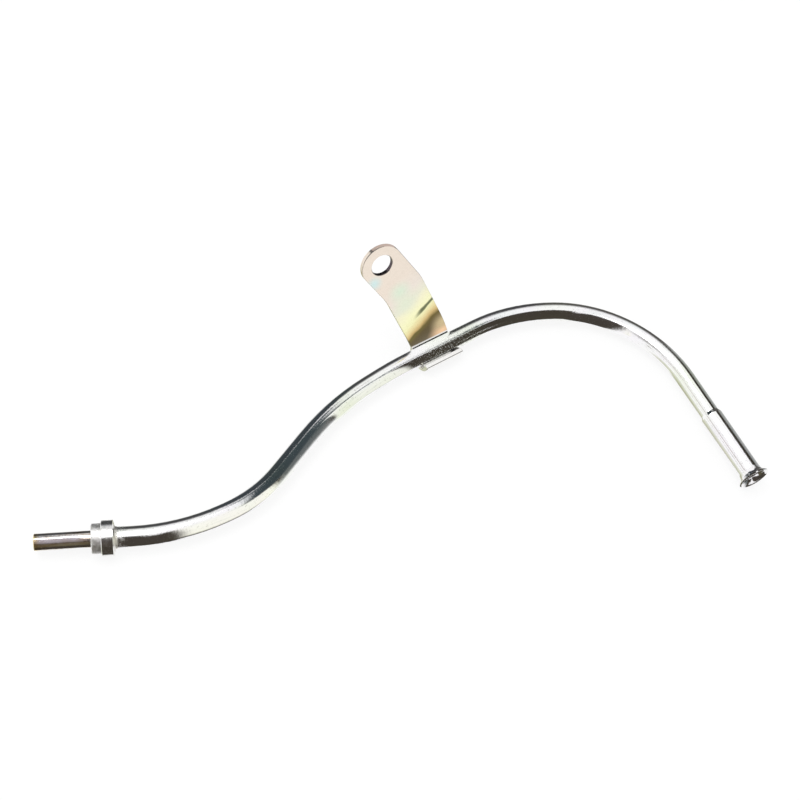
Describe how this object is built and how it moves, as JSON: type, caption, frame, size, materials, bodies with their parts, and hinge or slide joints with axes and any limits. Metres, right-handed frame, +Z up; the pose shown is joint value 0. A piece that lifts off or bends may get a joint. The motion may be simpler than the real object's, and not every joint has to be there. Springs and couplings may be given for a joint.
{
  "type": "dipstick tube",
  "caption": "Bent metal guide tube for an engine oil dipstick, with a flared mouth, a stepped seal collar on the lower end and a brazed bracket with a bolt hole.",
  "frame": {"origin": "on the axis of the lower spigot, at the lower face of the seal collar", "axes": "+X along the spigot axis from the spigot into the tube, +Z up from the floor that the tube lies on, with the tube's bends in the level plane"},
  "size_m": [0.3674, 0.1369, 0.0802],
  "materials": {
    "tube_zinc": "bright zinc plating on smooth steel tube",
    "collar_steel": "turned and zinc plated, satin",
    "braze": "plated over, slightly uneven",
    "bracket_zinc": "yellow passivated zinc, satin"
  },
  "bodies": {
    "root": {"guide_tube": "tube_zinc", "seal_collar": "collar_steel", "tube_side_braze": "braze", "spigot_side_braze": "braze", "bracket": "bracket_zinc", "lower_saddle_braze": "braze", "upper_saddle_braze": "braze"}
  },
  "joints": []
}
